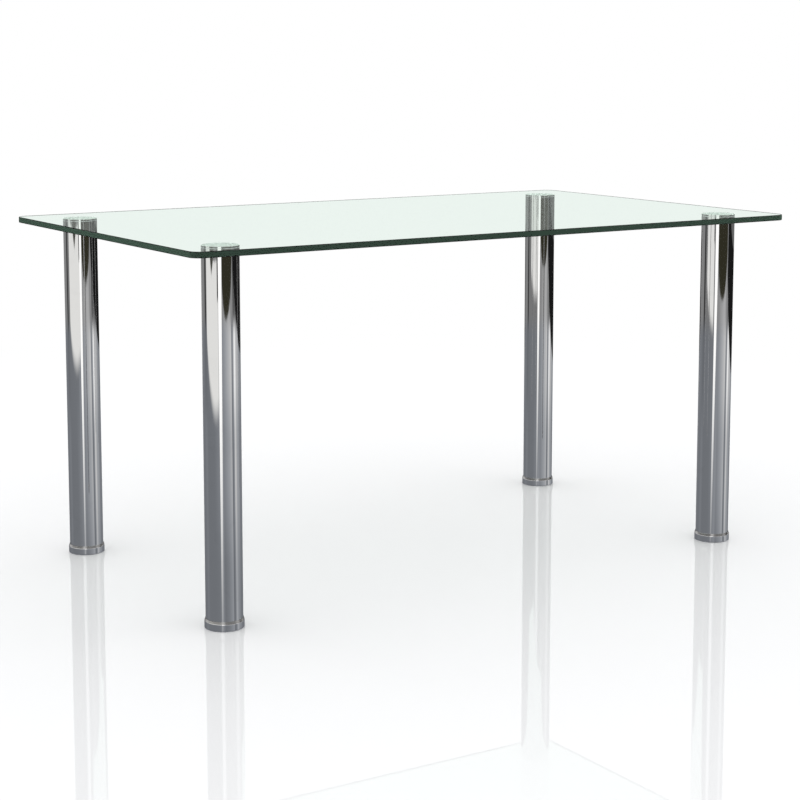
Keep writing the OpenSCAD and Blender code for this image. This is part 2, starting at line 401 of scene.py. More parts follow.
def grainGroup():
    # a fine height, and a broad tone that wanders about one half
    tree, given = newGroup("ShaderNodeTree", "surfaceGrain",
                           {"Vector": "Vector", "Size": "Float", "Unevenness": "Float"},
                           {"Height": "Float", "Tone": "Float"})
    fine = noise(tree, given["Vector"], calc(tree, "DIVIDE", 1.0, given["Size"]),
                 Detail=3.0, Roughness=0.65)
    patch = noise(tree, given["Vector"], calc(tree, "DIVIDE", patchiness["grain"], given["Size"]),
                  Detail=3.0)
    tone = times(tree, calc(tree, "SUBTRACT", patch, 0.5), given["Unevenness"])
    place(tree, "NodeGroupOutput", {"Height": fine, "Tone": calc(tree, "ADD", tone, 0.5)})
    return tree


def wearGroup():
    # rubbed corners, where the piece's own "worn" attribute marks them
    tree, given = newGroup("ShaderNodeTree", "rubbedEdges",
                           {"Vector": "Vector", "Size": "Float", "Amount": "Float"},
                           {"Mask": "Float"})
    breaks = noise(tree, given["Vector"], calc(tree, "DIVIDE", 1.0, given["Size"]), Detail=4.0)
    marked = times(tree, mask(tree, "worn"), stepped(tree, breaks, *marksFrom["rub"]))
    place(tree, "NodeGroupOutput", {"Mask": times(tree, marked, given["Amount"])})
    return tree


def turningGroup():
    # the fine rings a lathe tool leaves, from the distance along the turned outline
    tree, given = newGroup("ShaderNodeTree", "turningMarks", {"Spacing": "Float"},
                           {"Height": "Float"})
    outline = place(tree, "ShaderNodeUVMap", uv_map="outlineMap").outputs[0]
    along = place(tree, "ShaderNodeSeparateXYZ", {0: outline}).outputs["Y"]
    rings = place(tree, "ShaderNodeTexNoise", {
        "W": calc(tree, "DIVIDE", along, given["Spacing"]), "Scale": 1.0, "Detail": 2.0,
    }, noise_dimensions="1D")
    place(tree, "NodeGroupOutput", {"Height": rings.outputs[0]})
    return tree


effects = {
    "smudges": smudgeGroup(), "scratches": scratchGroup(), "grain": grainGroup(),
    "wear": wearGroup(), "turning": turningGroup(),
}


def effect(tree, finish, name, **more):
    # a shared effect, with the values that the finish gives it
    made = place(tree, "ShaderNodeGroup", node_tree=effects[name])
    for label, value in {**finish[name], **more}.items():
        socket = made.inputs[label.capitalize()]
        if isinstance(value, bpy.types.NodeSocket):
            tree.links.new(value, socket)
        else:
            socket.default_value = value
    return made.outputs


def newLook(name, **plain):
    # a material, its tree, its shader and the piece's own coordinates
    look = bpy.data.materials.new(name)
    look.use_nodes = True
    tree = look.node_tree
    shader = tree.nodes["Principled BSDF"]
    for label, value in plain.items():
        shader.inputs[label].default_value = value
    return look, tree, shader, place(tree, "ShaderNodeTexCoord").outputs["Object"]


def roughened(tree, finish, **masks):
    # the finish's plain roughness, and what each mask adds to it or takes from it
    return weighted(tree, finish["roughness"],
                    *[(value, finish["roughened"][name]) for name, value in masks.items()])


def feed(tree, shader, colour, rough):
    tree.links.new(colour, shader.inputs["Base Color"])
    tree.links.new(rough, shader.inputs["Roughness"])


def bumped(tree, shader, height, depth):
    bump = place(tree, "ShaderNodeBump", {"Height": height, "Distance": depth, "Strength": 1.0})
    tree.links.new(bump.outputs[0], shader.inputs["Normal"])


# finishes, with sizes and depths in metres

glassFinish = {
    "IOR": 1.52,
    "absorb": (11.0, 5.8, 8.8),  # how much red, green and blue a metre of glass takes
    "mostMirror": 0.07,          # the glare at a low view is held back, as by a polarising filter
    # groundColour is painted shade: it darkens the light that passes through the ground arrises
    "groundColour": (0.16, 0.22, 0.18, 1), "groundRoughness": 0.32,
}


def clearGlass():
    look, tree, shader, _ = newLook("clearGlass")
    ground = times(tree, mask(tree, "ground"), glassFinish["groundRoughness"])
    # painted shade: the ground arrises let through darker, greener light, in full on the lower arris and
    # less on the upper one
    clear = mixed(tree, mask(tree, "ground"), (1, 1, 1, 1), glassFinish["groundColour"])
    bend = place(tree, "ShaderNodeBsdfRefraction", {
        "Color": clear, "Roughness": ground, "IOR": glassFinish["IOR"],
    }, distribution="GGX")
    mirror = place(tree, "ShaderNodeBsdfAnisotropic",
                   {"Color": (1, 1, 1, 1), "Roughness": ground}, distribution="GGX")
    share = place(tree, "ShaderNodeFresnel", {"IOR": glassFinish["IOR"]}).outputs[0]
    share = calc(tree, "MINIMUM", share, glassFinish["mostMirror"])
    both = place(tree, "ShaderNodeMixShader", {0: share, 1: bend.outputs[0], 2: mirror.outputs[0]})
    tree.nodes.remove(shader)  # the plain shader that the material came with
    end = tree.nodes["Material Output"]
    tree.links.new(both.outputs[0], end.inputs["Surface"])
    most = max(glassFinish["absorb"])
    kept = tuple(1 - part / most for part in glassFinish["absorb"])
    tint = place(tree, "ShaderNodeVolumeAbsorption", {"Color": (*kept, 1), "Density": most})
    tree.links.new(tint.outputs[0], end.inputs["Volume"])
    return look


chromeFinish = {
    "colour": (0.80, 0.80, 0.805, 1), "smudged": (0.77, 0.77, 0.775, 1),
    # the bare steel colour also serves as painted shade on the outside of the cup's shoulder
    "bareSteel": (0.36, 0.35, 0.335, 1),  # inside the tubes, where little plating reaches
    "roughness": 0.035, "roughened": {"smudge": 0.02, "scratch": 0.01, "bare": 0.34},
    "smudges": {"size": 0.035, "amount": 1.0},
    "scratches": {"stretch": (900.0, 900.0, 26.0), "amount": 1.0},
}


def polishedChrome():
    look, tree, shader, own = newLook("polishedChrome", Metallic=1)
    # the bare mark covers the unplated insides, and painted shade on the cup's outer shoulder
    bare = mask(tree, "bare")
    smudge = effect(tree, chromeFinish, "smudges", vector=own)[0]
    scratch = effect(tree, chromeFinish, "scratches", vector=own)[0]
    plating = mixed(tree, smudge, chromeFinish["colour"], chromeFinish["smudged"])
    feed(tree, shader, mixed(tree, bare, plating, chromeFinish["bareSteel"]),
         roughened(tree, chromeFinish, smudge=smudge, scratch=scratch, bare=bare))
    return look


stainlessFinish = {
    "colour": (0.64, 0.63, 0.61, 1), "rubbed": (0.74, 0.73, 0.72, 1),
    "roughness": 0.22, "roughened": {"rings": 0.16, "smudge": 0.12},
    "wear": {"size": 0.004, "amount": 0.8}, "smudges": {"size": 0.012, "amount": 1.0},
    "turning": {"spacing": 0.00022}, "ringDepth": 0.00002,
}


def turnedStainless():
    look, tree, shader, own = newLook("turnedStainless", Metallic=1)
    wear = effect(tree, stainlessFinish, "wear", vector=own)[0]
    rings = effect(tree, stainlessFinish, "turning")[0]
    smudge = effect(tree, stainlessFinish, "smudges", vector=own)[0]
    polished = mask(tree, "polished")
    dull = calc(tree, "SUBTRACT", 1.0, polished)
    satin = mixed(tree, wear, stainlessFinish["colour"], stainlessFinish["rubbed"])
    rough = roughened(tree, stainlessFinish, rings=rings, smudge=smudge)
    rough = calc(tree, "ADD", chromeFinish["roughness"], times(tree, rough, dull))
    feed(tree, shader, mixed(tree, polished, satin, chromeFinish["colour"]), rough)
    bumped(tree, shader, times(tree, rings, dull), stainlessFinish["ringDepth"])
    return look


zincFinish = {
    "cool": (0.60, 0.64, 0.70, 1), "warm": (0.70, 0.68, 0.58, 1), "rubbed": (0.80, 0.80, 0.79, 1),
    "roughness": 0.27, "roughened": {"grain": 0.18, "wear": -0.10},
    "grain": {"size": 0.0009, "unevenness": 3.0}, "wear": {"size": 0.003, "amount": 0.9},
    "turning": {"spacing": 0.0004}, "ringDepth": 0.00002, "grainToRings": 0.8,
}


def zincPlate():
    look, tree, shader, own = newLook("brightZinc", Metallic=1)
    grain = effect(tree, zincFinish, "grain", vector=own)
    wear = effect(tree, zincFinish, "wear", vector=own)[0]
    rings = effect(tree, zincFinish, "turning")[0]
    plating = mixed(tree, grain["Tone"], zincFinish["cool"], zincFinish["warm"])
    feed(tree, shader, mixed(tree, wear, plating, zincFinish["rubbed"]),
         roughened(tree, zincFinish, grain=grain["Height"], wear=wear))
    relief = weighted(tree, rings, (grain["Height"], zincFinish["grainToRings"]))
    bumped(tree, shader, relief, zincFinish["ringDepth"])
    return look


rawFinish = {
    "mill": (0.16, 0.155, 0.155, 1), "scuffed": (0.34, 0.33, 0.32, 1),
    "weld": (0.42, 0.40, 0.37, 1), "heatTint": (0.22, 0.16, 0.12, 1),
    "roughness": 0.38, "roughened": {"grain": 0.25, "weld": -0.12},
    "grain": {"size": 0.0011, "unevenness": 4.0}, "grainDepth": 0.00006,
    "wear": {"size": 0.004, "amount": 1.0},
}


def weldedSteel():
    look, tree, shader, own = newLook("weldedSteel", Metallic=1)
    grain = effect(tree, rawFinish, "grain", vector=own)
    wear = effect(tree, rawFinish, "wear", vector=own)[0]
    weld = mask(tree, "welded")
    steel = mixed(tree, grain["Tone"], rawFinish["mill"], rawFinish["scuffed"])
    steel = mixed(tree, wear, steel, rawFinish["scuffed"])
    bead = mixed(tree, grain["Tone"], rawFinish["heatTint"], rawFinish["weld"])
    feed(tree, shader, mixed(tree, weld, steel, bead),
         roughened(tree, rawFinish, grain=grain["Height"], weld=weld))
    bumped(tree, shader, grain["Height"], rawFinish["grainDepth"])
    return look


nylonFinish = {
    "colour": (0.018, 0.018, 0.020, 1), "faded": (0.034, 0.034, 0.037, 1),
    "scuffed": (0.10, 0.10, 0.105, 1), "scratchTone": 0.3,
    "roughness": 0.44, "roughened": {"grain": 0.2, "wear": 0.12},
    "grain": {"size": 0.0007, "unevenness": 3.0}, "grainDepth": 0.00005,
    "wear": {"size": 0.0025, "amount": 0.7},
    "scratches": {"stretch": (120.0, 900.0, 400.0), "amount": 0.5},
}


def mouldedNylon():
    look, tree, shader, own = newLook("mouldedNylon")
    grain = effect(tree, nylonFinish, "grain", vector=own)
    wear = effect(tree, nylonFinish, "wear", vector=own)[0]
    scratch = effect(tree, nylonFinish, "scratches", vector=own)[0]
    base = mixed(tree, grain["Tone"], nylonFinish["colour"], nylonFinish["faded"])
    scuffs = times(tree, scratch, nylonFinish["scratchTone"])
    scuffs = calc(tree, "ADD", wear, scuffs, clamp=True)
    feed(tree, shader, mixed(tree, scuffs, base, nylonFinish["scuffed"]),
         roughened(tree, nylonFinish, grain=grain["Height"], wear=wear))
    bumped(tree, shader, grain["Height"], nylonFinish["grainDepth"])
    return look


filmFinish = {
    "colour": (0.975, 0.985, 0.98, 1), "thin": (0.955, 0.97, 0.96, 1),
    "bubble": (0.90, 0.92, 0.91, 1), "bubbleSpacing": 0.006, "bubbleDepth": 0.00004,
    "bubbleEdge": (0.03, 0.05),  # from the middle of a bubble, as a share of the spacing
    "roughness": 0.30, "roughened": {"grain": 0.1, "bubble": 0.2},
    "grain": {"size": 0.0012, "unevenness": 2.0},
}


def curedFilm():
    # clear adhesive over the satin plate, with a few tiny bubbles caught in it
    look, tree, shader, own = newLook("curedFilm", **{"Specular IOR Level": 0.0})
    grain = effect(tree, filmFinish, "grain", vector=own)
    cells = place(tree, "ShaderNodeTexVoronoi",
                  {"Vector": own, "Scale": 1 / filmFinish["bubbleSpacing"]})
    outside = stepped(tree, cells.outputs["Distance"], *filmFinish["bubbleEdge"])
    bubble = calc(tree, "SUBTRACT", 1.0, outside)
    base = mixed(tree, grain["Tone"], filmFinish["thin"], filmFinish["colour"])
    feed(tree, shader, mixed(tree, bubble, base, filmFinish["bubble"]),
         roughened(tree, filmFinish, grain=grain["Height"], bubble=bubble))
    bumped(tree, shader, bubble, filmFinish["bubbleDepth"])
    return look


looks = {
    "glass": clearGlass(), "chrome": polishedChrome(), "stainless": turnedStainless(),
    "zinc_steel": zincPlate(), "raw_steel": weldedSteel(), "nylon": mouldedNylon(),
    "adhesive": curedFilm(),
}
print("finishes made")


# geometry trees

threadForm = {
    "Pitch": 1.5 * mm, "Thread Radius": 5 * mm, "Thread Depth": 0.92 * mm,
    "Play": 0.05 * mm,  # how much wider a nut's thread is than the screw's
}
threadCrest = 0.125  # half a pitch is this much flat crest,
threadSlope = 0.625  # this much slope, and the rest flat root
sharpAngle = math.radians(28)  # edges that bend more stay sharp
mergeWithin = 0.000002         # metres
runMarks = ("thread", "ribbed", "welded", "bare", "polished", "ground")  # notes on an outline's runs


def whole(tree, operation, first, second):
    return place(tree, "FunctionNodeIntegerMath", {0: first, 1: second},
                 operation=operation).outputs[0]


def finishTree(tree, given, geometry):
    # smooth but for sharp edges, real geometry and the piece's own material
    bend = place(tree, "GeometryNodeInputMeshEdgeAngle").outputs["Unsigned Angle"]
    smooth = place(tree, "GeometryNodeSetShadeSmooth", {"Geometry": geometry, "Shade Smooth": True},
                   domain="FACE")
    smooth = place(tree, "GeometryNodeSetShadeSmooth", {
        "Geometry": smooth.outputs[0],
        "Shade Smooth": calc(tree, "LESS_THAN", bend, given["Sharp Angle"]),
    }, domain="EDGE")
    real = place(tree, "GeometryNodeRealizeInstances", {0: smooth.outputs[0]})
    done = place(tree, "GeometryNodeSetMaterial",
                 {"Geometry": real.outputs[0], "Material": given["Material"]})
    place(tree, "NodeGroupOutput", {0: done.outputs[0]})


def sampledRow(tree, outline, row, kind, value):
    return place(tree, "GeometryNodeSampleIndex", {"Geometry": outline, "Value": value, "Index": row},
                 data_type=kind).outputs[0]


def rowReader(tree, outline, row):
    # reads the outline's point, or one of its marks, for each row of the grid
    point = place(tree, "ShaderNodeSeparateXYZ", {
        0: sampledRow(tree, outline, row, "FLOAT_VECTOR",
                      place(tree, "GeometryNodeInputPosition").outputs[0])
    }).outputs

    def read(name):
        named = place(tree, "GeometryNodeInputNamedAttribute", {"Name": name}, data_type="FLOAT")
        return sampledRow(tree, outline, row, "FLOAT", named.outputs["Attribute"])
    return point["X"], point["Z"], read


def gridFor(tree, outline, columns):
    # a flat grid with a row for each point of the outline
    rows = place(tree, "GeometryNodeAttributeDomainSize", {"Geometry": outline},
                 component="MESH").outputs["Point Count"]
    grid = place(tree, "GeometryNodeMeshGrid", {"Vertices X": rows, "Vertices Y": columns})
    index = place(tree, "GeometryNodeInputIndex").outputs[0]
    return (grid.outputs["Mesh"], whole(tree, "DIVIDE", index, columns),
            whole(tree, "MODULO", index, columns))


def closedGrid(tree, grid, position, marks, mapping):
    # the shaped grid with its marks and its map stored, and its seam and poles closed
    shaped = place(tree, "GeometryNodeSetPosition", {"Geometry": grid, "Position": position})
    geometry = shaped.outputs[0]
    for name, value in marks.items():
        stored = place(tree, "GeometryNodeStoreNamedAttribute",
                       {"Geometry": geometry, "Name": name, "Value": value},
                       data_type="FLOAT", domain="POINT")
        geometry = stored.outputs[0]
    onPoints = place(tree, "GeometryNodeFieldOnDomain", {0: mapping},
                     data_type="FLOAT_VECTOR", domain="POINT")
    stored = place(tree, "GeometryNodeStoreNamedAttribute",
                   {"Geometry": geometry, "Name": "outlineMap", "Value": onPoints.outputs[0]},
                   data_type="FLOAT2", domain="CORNER")
    merged = place(tree, "GeometryNodeMergeByDistance",
                   {"Geometry": stored.outputs[0], "Distance": mergeWithin})
    return merged.outputs[0]


def turnedTree():
    tree, given = newGroup("GeometryNodeTree", "turnedPiece", {
        "Geometry": "Geometry", "Segments": "Int", "Centre": "Vector", "Pitch": "Float",
        "Thread Radius": "Float", "Thread Depth": "Float", "Play": "Float", "Ribs": "Int",
        "Rib Height": "Float", "Rib Width": "Float", "Ripples": "Int", "Ripple Height": "Float",
        "Sharp Angle": "Float", "Material": "Material",
    }, {"Geometry": "Geometry"})
    columns = whole(tree, "ADD", given["Segments"], 1)
    grid, row, column = gridFor(tree, given["Geometry"], columns)
    radius, height, read = rowReader(tree, given["Geometry"], row)
    lap = calc(tree, "DIVIDE", column, given["Segments"])
    angle = times(tree, lap, 2 * math.pi)

    def choose(condition, otherwise, value):
        return place(tree, "GeometryNodeSwitch", {0: condition, 1: otherwise, 2: value},
                     input_type="FLOAT").outputs[0]

    # a right-hand thread, outside where its mark is 1 and inside where it is -1
    turns = calc(tree, "SUBTRACT", calc(tree, "DIVIDE", height, given["Pitch"]), lap)
    wave = times(tree, calc(tree, "FRACT", turns), 2.0)
    wave = calc(tree, "ABSOLUTE", calc(tree, "SUBTRACT", wave, 1.0))
    depth = calc(tree, "DIVIDE", calc(tree, "SUBTRACT", wave, threadCrest), threadSlope, clamp=True)
    cut = calc(tree, "SUBTRACT", given["Thread Radius"], times(tree, depth, given["Thread Depth"]))
    thread = read("thread")
    outside = calc(tree, "GREATER_THAN", thread, 0.5)
    inside = calc(tree, "LESS_THAN", thread, -0.5)
    radius = choose(outside, radius, calc(tree, "MINIMUM", radius, cut))
    wider = calc(tree, "ADD", cut, given["Play"])
    radius = choose(inside, radius, calc(tree, "MAXIMUM", radius, wider))

    # six flats, with a corner at angle 0
    flats = read("flats")
    lean = calc(tree, "FRACT", times(tree, lap, 6.0))
    lean = times(tree, calc(tree, "SUBTRACT", lean, 0.5), math.pi / 3)
    flat = calc(tree, "DIVIDE", flats, calc(tree, "COSINE", lean))
    radius = choose(calc(tree, "GREATER_THAN", flats, 0.0), radius,
                    calc(tree, "MINIMUM", radius, flat))

    # crush ribs
    off = calc(tree, "FRACT", times(tree, lap, given["Ribs"]))
    off = calc(tree, "ABSOLUTE", calc(tree, "SUBTRACT", off, 0.5))
    off = times(tree, calc(tree, "DIVIDE", off, given["Ribs"]), radius, 2 * math.pi)
    rib = calc(tree, "SUBTRACT", 1.0, calc(tree, "DIVIDE", off, given["Rib Width"]), clamp=True)
    rib = times(tree, rib, given["Rib Height"], read("ribbed"))
    radius = calc(tree, "ADD", radius, rib)

    # a weld's ripples
    welded = read("welded")
    ripple = calc(tree, "SINE", times(tree, angle, 0.5, given["Ripples"]))
    ripple = times(tree, calc(tree, "ABSOLUTE", ripple), given["Ripple Height"], welded)
    radius = calc(tree, "SUBTRACT", radius, ripple)
    height = calc(tree, "SUBTRACT", height, ripple)

    around = vector(tree, times(tree, radius, calc(tree, "COSINE", angle)),
                    times(tree, radius, calc(tree, "SINE", angle)), height)
    position = place(tree, "ShaderNodeVectorMath", {0: around, 1: given["Centre"]}).outputs[0]
    mapping = vector(tree, lap, read("along"))
    marks = {
        "worn": read("worn"), "welded": welded, "bare": read("bare"), "polished": read("polished"),
    }
    finishTree(tree, given, closedGrid(tree, grid, position, marks, mapping))
    return tree


def paneTree():
    tree, given = newGroup("GeometryNodeTree", "groundPane", {
        "Geometry": "Geometry", "Length": "Float", "Width": "Float", "Corner Radius": "Float",
        "Corner Steps": "Int", "Sharp Angle": "Float", "Material": "Material",
    }, {"Geometry": "Geometry"})
    perCorner = whole(tree, "ADD", given["Corner Steps"], 1)
    columns = calc(tree, "ADD", times(tree, perCorner, 4.0), 1.0)
    grid, row, column = gridFor(tree, given["Geometry"], columns)
    inset, height, read = rowReader(tree, given["Geometry"], row)
    # the last column comes back to the first corner, so that the seam can close
    corner = whole(tree, "DIVIDE", column, perCorner)
    step = whole(tree, "MODULO", column, perCorner)
    angle = calc(tree, "ADD", calc(tree, "DIVIDE", step, given["Corner Steps"]), corner)
    angle = times(tree, angle, math.pi / 2)
    middle = times(tree, calc(tree, "ADD", corner, 0.5), math.pi / 2)
    radius = calc(tree, "SUBTRACT", given["Corner Radius"], inset)
    # a point this far in lies in the middle of the pane, and closes its face
    kept = calc(tree, "LESS_THAN", inset, times(tree, given["Width"], 0.4))

    def across(size, trig):
        reach = calc(tree, "SUBTRACT", times(tree, size, 0.5), given["Corner Radius"])
        side = times(tree, reach, calc(tree, "SIGN", calc(tree, trig, middle)))
        out = calc(tree, "ADD", side, times(tree, radius, calc(tree, trig, angle)))
        return times(tree, out, kept)

    position = vector(tree, across(given["Length"], "COSINE"), across(given["Width"], "SINE"), height)
    mapping = vector(tree, angle, read("along"))
    marks = {"ground": read("ground")}
    finishTree(tree, given, closedGrid(tree, grid, position, marks, mapping))
    return tree


def webTree():
    # flat webs from a hub to a wall, moulded in one with the piece
    tree, given = newGroup("GeometryNodeTree", "mouldedWebs", {
        "Geometry": "Geometry", "Webs": "Int", "Thickness": "Float", "From": "Float",
        "To": "Float", "Low": "Float", "High": "Float", "Centre": "Vector",
        "Sharp Angle": "Float", "Material": "Material",
    }, {"Geometry": "Geometry"})
    size = vector(tree, calc(tree, "SUBTRACT", given["To"], given["From"]), given["Thickness"],
                  calc(tree, "SUBTRACT", given["High"], given["Low"]))
    middle = vector(tree, x=times(tree, calc(tree, "ADD", given["To"], given["From"]), 0.5),
                    z=times(tree, calc(tree, "ADD", given["High"], given["Low"]), 0.5))
    web = place(tree, "GeometryNodeMeshCube", {"Size": size})
    web = place(tree, "GeometryNodeTransform",
                {"Geometry": web.outputs["Mesh"], "Translation": middle})
    spots = place(tree, "GeometryNodePoints", {"Count": given["Webs"], "Position": given["Centre"]})
    turn = calc(tree, "DIVIDE", place(tree, "GeometryNodeInputIndex").outputs[0], given["Webs"])
    webs = place(tree, "GeometryNodeInstanceOnPoints", {
        "Points": spots.outputs[0], "Instance": web.outputs[0],
        "Rotation": vector(tree, z=times(tree, turn, 2 * math.pi)),
    })
    solid = place(tree, "GeometryNodeRealizeInstances", {0: webs.outputs[0]})
    union = place(tree, "GeometryNodeMeshBoolean", {"Mesh 2": given["Geometry"]},
                  operation="UNION", solver="EXACT")
    tree.links.new(solid.outputs[0], union.inputs["Mesh 2"])
    finishTree(tree, given, union.outputs[0])
    return tree


trees = {"turned": turnedTree(), "pane": paneTree(), "webs": webTree()}


def addNodes(piece, tree, values):
    # each input is set by its socket's identifier, before anything is evaluated
    modifier = piece.modifiers.new(tree.name, "NODES")
    modifier.node_group = tree
    for socket in tree.interface.items_tree:
        if socket.item_type == "SOCKET" and socket.in_out == "INPUT" and socket.name in values:
            modifier[socket.identifier] = values[socket.name]


def settle(piece):
    # the evaluated result as a plain mesh
    evaluated = piece.evaluated_get(bpy.context.evaluated_depsgraph_get())
    rough = piece.data
    piece.data = bpy.data.meshes.new_from_object(evaluated)
    piece.data.name = piece.name
    while piece.data.materials[0] is None:  # the outline's own empty slot
        piece.data.materials.pop(index=0)
    piece.modifiers.clear()
    bpy.data.meshes.remove(rough)


outlineSteps = {
    "arc": 0.32,      # radians, the longest step round a corner
    "thread": 0.15,   # mm, the longest step along a thread
    "support": 0.22,  # mm, a point this near a rounded corner keeps the run beyond it straight
}


def cutOutline(corners, base=0.0, ring=False, inwards=False):
    # Points round the cut through a piece, from corners (radius, height, notes) in mm. "round" is
    # for the corner itself, and every other note marks the run that ends there. Where the first
    # number is measured inwards from a rim, the walk goes the other way round.
    support = outlineSteps["support"]
    notes = [corner[2] if len(corner) > 2 else {} for corner in corners]
    spots = [Vector(corner[:2]) for corner in corners]
    count = len(corners)

    def bend(n):
        size = notes[n].get("round", 0)
        if not size or (not ring and n in (0, count - 1)):
            return [spots[n]]
        back = (spots[n - 1] - spots[n]).normalized()
        ahead = (spots[(n + 1) % count] - spots[n]).normalized()
        half = back.angle(ahead) / 2
        centre = spots[n] + (back + ahead).normalized() * (size / math.sin(half))
        first = spots[n] + back * (size / math.tan(half)) - centre
        last = spots[n] + ahead * (size / math.tan(half)) - centre
        swing = math.pi - 2 * half
        steps = max(2, math.ceil(swing / outlineSteps["arc"]))
        return [
            centre + (first * math.sin(swing * (1 - t / steps)) + last * math.sin(swing * t / steps))
            / math.sin(swing) for t in range(steps + 1)
        ]

    rows = []
    for n in range(count):
        arc = bend(n)
        rounded = len(arc) > 1
        for spot in arc:
            rows.append((spot, notes[n], 1.0 if rounded else 0.0))
        if not ring and n == count - 1:
            break
        after = bend((n + 1) % count)
        start, end = arc[-1], after[0]
        run = (end - start).length
        marks = notes[(n + 1) % count]
        parts = marks.get("steps", 1)
        if marks.get("thread"):
            parts = max(parts, round(abs(end.y - start.y) / outlineSteps["thread"]))
        places = [k / parts for k in range(1, parts)]
        if run > 5 * support and parts == 1:
            places = [support / run] * rounded + [1 - support / run] * (len(after) > 1)
        for part in places:
            rows.append((start.lerp(end, part), marks, 0.0))
    if ring:
        rows.append(rows[0])
    area = sum(a[0].x * b[0].y - b[0].x * a[0].y for a, b in zip(rows, rows[1:] + rows[:1]))
    if (area > 0) != inwards:
        rows.reverse()
    mesh = bpy.data.meshes.new("outline")
    mesh.from_pydata([(spot.x * mm, 0, spot.y * mm + base) for spot, _, _ in rows],
                     [(n, n + 1) for n in range(len(rows) - 1)], [])
    along = 0.0
    values = {name: [] for name in ("along", "worn", "flats", *runMarks)}
    for n, (spot, marks, worn) in enumerate(rows):
        along += (spot - rows[n - 1][0]).length * mm if n else 0.0
        values["along"].append(along)
        values["worn"].append(worn)
        values["flats"].append(marks.get("flats", 0) * mm)
        for name in runMarks:
            values[name].append(float(marks.get(name, 0)))
    for name, numbers in values.items():
        mesh.attributes.new(name, "FLOAT", "POINT").data.foreach_set("value", numbers)
    return mesh


def standIn(piece, node, slot, body):
    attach(piece, body)
    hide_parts(node)


# the glass pane

paneShape = {
    "cornerRadius": 25.0, "arris": 1.0, "arrisRound": 0.3, "flatFrom": 2.5,  # mm
    "middle": 500,                  # mm in from the rim, past the point where each face closes
    "cornerSteps": 24,
}


def makePane():
    low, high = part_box("glass_top")
    thick = (high.z - low.z) / mm
    cut, soft = paneShape["arris"], paneShape["arrisRound"]
    flat, middle = paneShape["flatFrom"], paneShape["middle"]
    # the lower arris is marked fully ground and the upper one less, and these marks also set how much
    # painted shade each arris gets
    corners = [
        (middle, 0), (flat, 0), (cut, 0, {"round": soft}), (0, cut, {"round": soft, "ground": 1}),
        (0, thick - cut, {"round": soft}), (cut, thick, {"round": soft, "ground": 0.3}),
        (flat, thick), (middle, thick),
    ]
    pane = newPiece("glassPane", cutOutline(corners, low.z, inwards=True))
    addNodes(pane, trees["pane"], {
        "Length": high.x - low.x, "Width": high.y - low.y,
        "Corner Radius": paneShape["cornerRadius"] * mm, "Corner Steps": paneShape["cornerSteps"],
        "Sharp Angle": sharpAngle, "Material": looks["glass"],
    })
    settle(pane)
    standIn(pane, "glass_top", "glass", "table")
    print("glass pane made")


# Turned pieces, each from the corners of its cut in mm, measured up from the piece's own foot.
# "body" is the start of the name of the body that it rides on, and the outline of a "ring" closes
# round a hole.

threadIn = {"thread": -1}
threadOut = {"thread": 1}
threadEnd = {"thread": 1, "steps": 6}    # where a thread runs out over a chamfer
boreIn = 4.13                            # radius inside an M10 thread
boreMouth = 5.4
mouth = boreMouth - boreIn               # the depth of the countersink
socketWall = {"flats": 2.5}              # half of what a key or a spanner measures
nutFlat = {"flats": 8.5}
socketCorner = socketWall["flats"] / math.cos(math.pi / 6)
nutCorner = nutFlat["flats"] / math.cos(math.pi / 6)
nutChamfer = {"face": 8.2, "drop": 0.93}
tubeBore, tubeRadius = 36, 37.5


def nutCorners(height):
    face, drop = nutChamfer["face"], nutChamfer["drop"]
    chamfer = {**nutFlat, "steps": 7}
    return [
        (boreMouth, 0), (face, 0), (nutCorner, drop, chamfer), (nutCorner, height - drop, nutFlat),
        (face, height, chamfer), (boreMouth, height), (boreIn, height - mouth, threadIn),
        (boreIn, mouth, threadIn),
    ]


